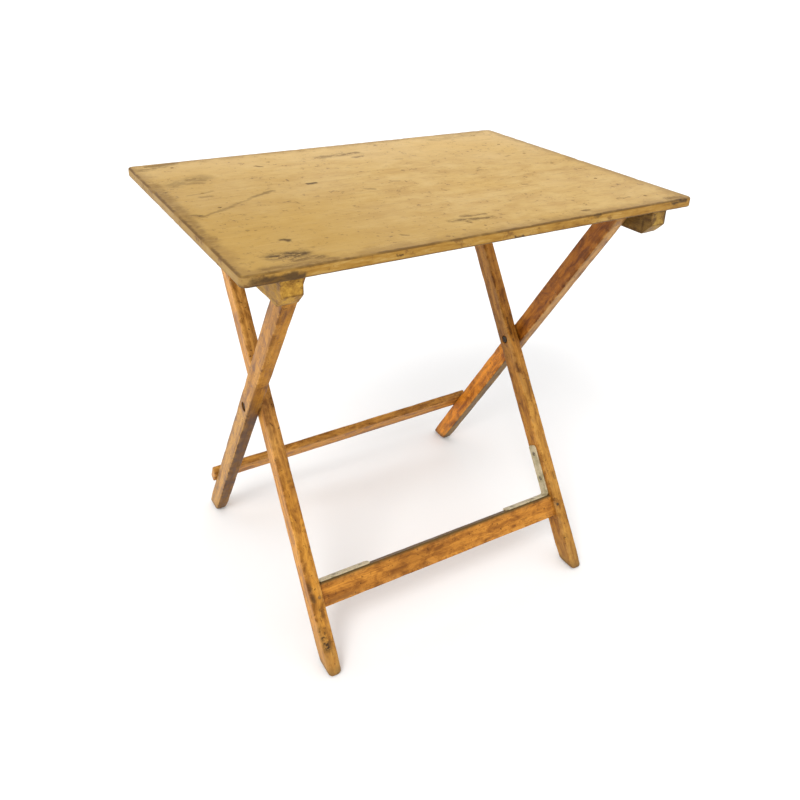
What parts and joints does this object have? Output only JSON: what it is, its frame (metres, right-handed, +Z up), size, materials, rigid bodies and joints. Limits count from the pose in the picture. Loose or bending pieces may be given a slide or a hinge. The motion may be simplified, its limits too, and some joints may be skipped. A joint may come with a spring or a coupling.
{
  "type": "folding table",
  "caption": "Small folding table with a thin rounded board on crossed wooden legs that scissor together and steel corner brackets on the front stretcher.",
  "frame": {"origin": "on the floor under the middle of the top", "axes": "+X along the top's long side to the right, +Y from the front long edge (brackets' side) to the back, +Z up"},
  "size_m": [0.674, 0.495, 0.65],
  "materials": {
    "top_paint": "worn yellow-tan paint on board",
    "batten_paint": "worn ochre paint",
    "leg_varnish": "orange-brown varnish, worn",
    "stretcher_varnish": "orange-brown varnish, worn",
    "raw_wood": "bare softwood",
    "bracket_steel": "dull plated steel",
    "screw_steel": "dull steel",
    "nail_steel": "dark oxidised steel",
    "pivot_steel": "dark oxidised steel"
  },
  "bodies": {
    "top": {"tabletop": "top_paint", "batten_left": "batten_paint", "batten_right": "batten_paint", "batten_nails_left": "nail_steel", "batten_nails_right": "nail_steel", "stop_block_left": "raw_wood", "stop_block_right": "raw_wood", "stop_block_screws_left": "screw_steel", "stop_block_screws_right": "screw_steel"},
    "top_pivots": {"top_pivot_bolt_left": "pivot_steel", "top_pivot_bolt_right": "pivot_steel", "top_pivot_nut_left": "pivot_steel", "top_pivot_nut_right": "pivot_steel", "top_pivot_washer_left": "pivot_steel", "top_pivot_washer_right": "pivot_steel"},
    "outer_frame": {"outer_leg_left": "leg_varnish", "outer_leg_right": "leg_varnish", "rear_stretcher": "stretcher_varnish", "rear_stretcher_screws_left": "screw_steel", "rear_stretcher_screws_right": "screw_steel", "cross_pivot_bolt_left": "pivot_steel", "cross_pivot_bolt_right": "pivot_steel", "cross_pivot_nut_left": "pivot_steel", "cross_pivot_nut_right": "pivot_steel", "cross_pivot_washer_left": "pivot_steel", "cross_pivot_washer_right": "pivot_steel"},
    "inner_frame": {"inner_leg_left": "leg_varnish", "inner_leg_right": "leg_varnish", "front_stretcher": "stretcher_varnish", "top_rail": "stretcher_varnish", "front_stretcher_nail_left": "nail_steel", "front_stretcher_nail_right": "nail_steel", "top_rail_nail_left": "nail_steel", "top_rail_nail_right": "nail_steel", "bracket_left": "bracket_steel", "bracket_right": "bracket_steel", "bracket_leg_screws_left": "screw_steel", "bracket_leg_screws_right": "screw_steel", "bracket_stretcher_screws_left": "screw_steel", "bracket_stretcher_screws_right": "screw_steel"}
  },
  "joints": [
    {"name": "top_lift", "type": "hinge", "parent": "top", "child": "top_pivots", "pos_m": [0, -0.18542, 0.6202], "axis": [1, 0, 0], "range_deg": [-85, 0]},
    {"name": "top_to_outer_legs", "type": "hinge", "parent": "top_pivots", "child": "outer_frame", "pos_m": [0, -0.18542, 0.6202], "axis": [1, 0, 0], "range_deg": [-33.2, 0]},
    {"name": "legs_scissor", "type": "hinge", "parent": "outer_frame", "child": "inner_frame", "pos_m": [0, 0, 0.339], "axis": [1, 0, 0], "range_deg": [0, 66.4]}
  ],
  "couplings": [
    {"joint": "legs_scissor", "follows": "top_to_outer_legs", "ratio": -2}
  ]
}
